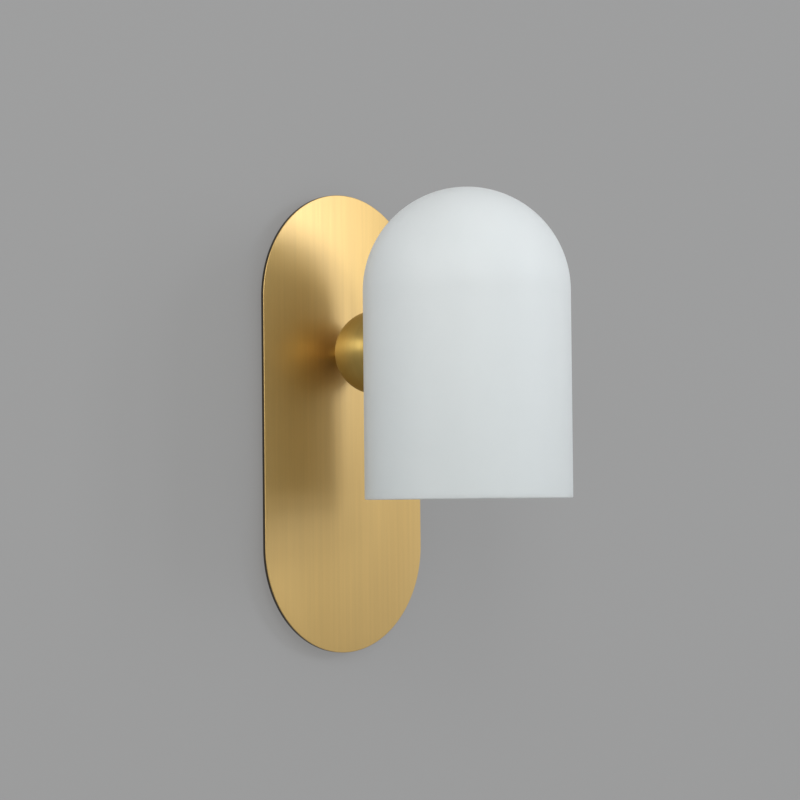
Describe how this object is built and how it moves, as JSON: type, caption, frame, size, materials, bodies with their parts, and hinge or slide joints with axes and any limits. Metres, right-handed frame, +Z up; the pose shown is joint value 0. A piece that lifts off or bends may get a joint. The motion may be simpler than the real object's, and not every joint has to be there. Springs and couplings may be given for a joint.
{
  "type": "wall sconce",
  "caption": "Wall sconce with an upright pill-shaped brass backplate, a brass ball arm and an open domed opal glass shade that swivels between up-light and down-light.",
  "frame": {"origin": "on the wall plane, at the middle of the wall bracket's screw slots, behind the middle of the backplate", "axes": "+Y into the wall, -Y the front towards the room, +X right seen from the front, +Z up"},
  "size_m": [0.138, 0.1905, 0.298],
  "materials": {
    "satin_brass": "satin, brushed",
    "opal_glass": "satin opal",
    "zinc_steel": "zinc plated",
    "frame_enamel": "matt",
    "turned_brass": "plain turned",
    "tinned_copper": "tinned",
    "grey_rubber": "matt",
    "clear_silicone": "soft matt",
    "natural_nylon": "natural",
    "live_sleeve": "brown",
    "neutral_sleeve": "blue",
    "earth_sleeve": "green with a yellow stripe",
    "cable_sleeve": "woven glass sleeve",
    "white_ceramic": "unglazed",
    "bulb_plastic": "white",
    "bulb_frost": "frosted",
    "board_white": "white board"
  },
  "bodies": {
    "wall_plate": {"wall_bracket": "zinc_steel", "cable_grommet": "grey_rubber", "rear_frame": "frame_enamel", "frame_nuts": "zinc_steel", "backplate": "satin_brass", "side_screws": "turned_brass", "terminal_block": "natural_nylon", "terminal_clamps": "turned_brass", "terminal_screws": "zinc_steel", "block_screws": "zinc_steel", "earth_tag": "tinned_copper", "earth_screw": "turned_brass", "live_wire": "live_sleeve", "neutral_wire": "neutral_sleeve", "earth_wire": "earth_sleeve", "collar": "satin_brass", "stop_pin": "zinc_steel"},
    "head": {"spring_washer": "zinc_steel", "stop_washer": "zinc_steel", "locknut": "turned_brass", "stem": "turned_brass", "friction_washer": "natural_nylon", "ball": "satin_brass", "seat_pad": "clear_silicone", "shade": "opal_glass", "soft_washer": "clear_silicone", "clamp_washer": "zinc_steel", "clamp_nut": "turned_brass", "socket_bracket": "zinc_steel", "bracket_nut": "turned_brass", "stem_bush": "natural_nylon", "lamp_cable": "cable_sleeve", "lamp_holder": "white_ceramic", "holder_screws": "zinc_steel", "holder_contacts": "tinned_copper"},
    "bulb": {"bulb_base": "bulb_plastic", "bulb_pins": "tinned_copper", "bulb_cover": "bulb_frost", "led_board": "board_white"}
  },
  "joints": [
    {"name": "shade_swivel", "type": "hinge", "parent": "wall_plate", "child": "head", "pos_m": [0, -0.012, 0.045], "axis": [0, 1, 0], "range_deg": [0, 180]},
    {"name": "bulb_pull", "type": "slide", "parent": "head", "child": "bulb", "axis": [0, 0, -1], "range_m": [0, 0.03]}
  ]
}
